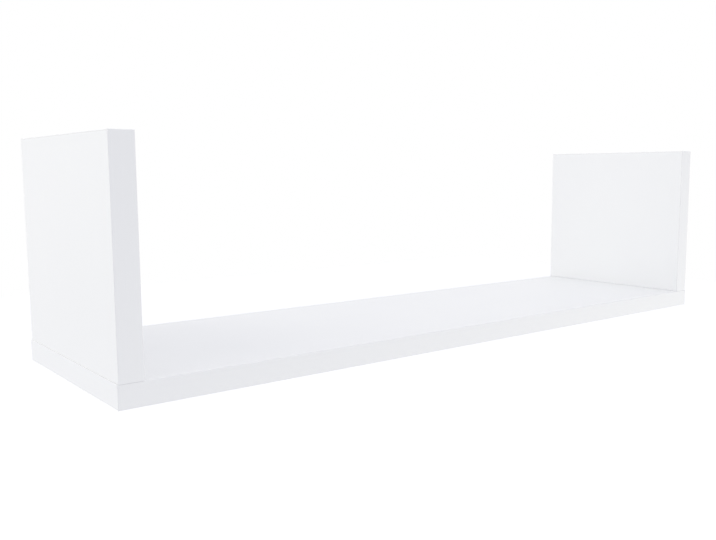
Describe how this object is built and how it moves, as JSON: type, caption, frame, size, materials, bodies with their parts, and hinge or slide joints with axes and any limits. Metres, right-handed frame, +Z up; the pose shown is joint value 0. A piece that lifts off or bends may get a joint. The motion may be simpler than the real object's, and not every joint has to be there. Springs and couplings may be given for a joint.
{
  "type": "floating wall shelf",
  "caption": "White U-shaped floating wall shelf of melamine-faced boards, with uprights standing on the ends of its base, carried on concealed rods that screw to the wall.",
  "frame": {"origin": "on the wall plane, midway along the shelf, at the height of the rod axes, which is the middle of the base's thickness", "axes": "+X along the shelf to the right as seen from the room, +Y into the wall, +Z up"},
  "size_m": [0.85, 0.24, 0.2282],
  "materials": {
    "melamine_board": "satin",
    "edge_band": "satin",
    "beech": "matte",
    "panel_screw_steel": "satin",
    "cap_plastic": "satin",
    "plate_steel": "satin",
    "rod_steel": "satin"
  },
  "bodies": {
    "wall_supports": {"left_wall_plate": "plate_steel", "right_wall_plate": "plate_steel", "left_support_rod": "rod_steel", "right_support_rod": "rod_steel"},
    "shelf": {"base_board": "melamine_board", "left_upright_board": "melamine_board", "right_upright_board": "melamine_board", "base_front_band": "edge_band", "base_left_band": "edge_band", "base_right_band": "edge_band", "left_upright_front_band": "edge_band", "left_upright_top_band": "edge_band", "right_upright_front_band": "edge_band", "right_upright_top_band": "edge_band", "left_front_dowel": "beech", "left_rear_dowel": "beech", "right_front_dowel": "beech", "right_rear_dowel": "beech", "left_front_panel_screw": "panel_screw_steel", "left_rear_panel_screw": "panel_screw_steel", "right_front_panel_screw": "panel_screw_steel", "right_rear_panel_screw": "panel_screw_steel", "left_front_screw_cap": "cap_plastic", "left_rear_screw_cap": "cap_plastic", "right_front_screw_cap": "cap_plastic", "right_rear_screw_cap": "cap_plastic"}
  },
  "joints": [
    {"name": "shelf_slide", "type": "slide", "parent": "wall_supports", "child": "shelf", "axis": [0, -1, 0], "range_m": [0, 0.125]}
  ]
}
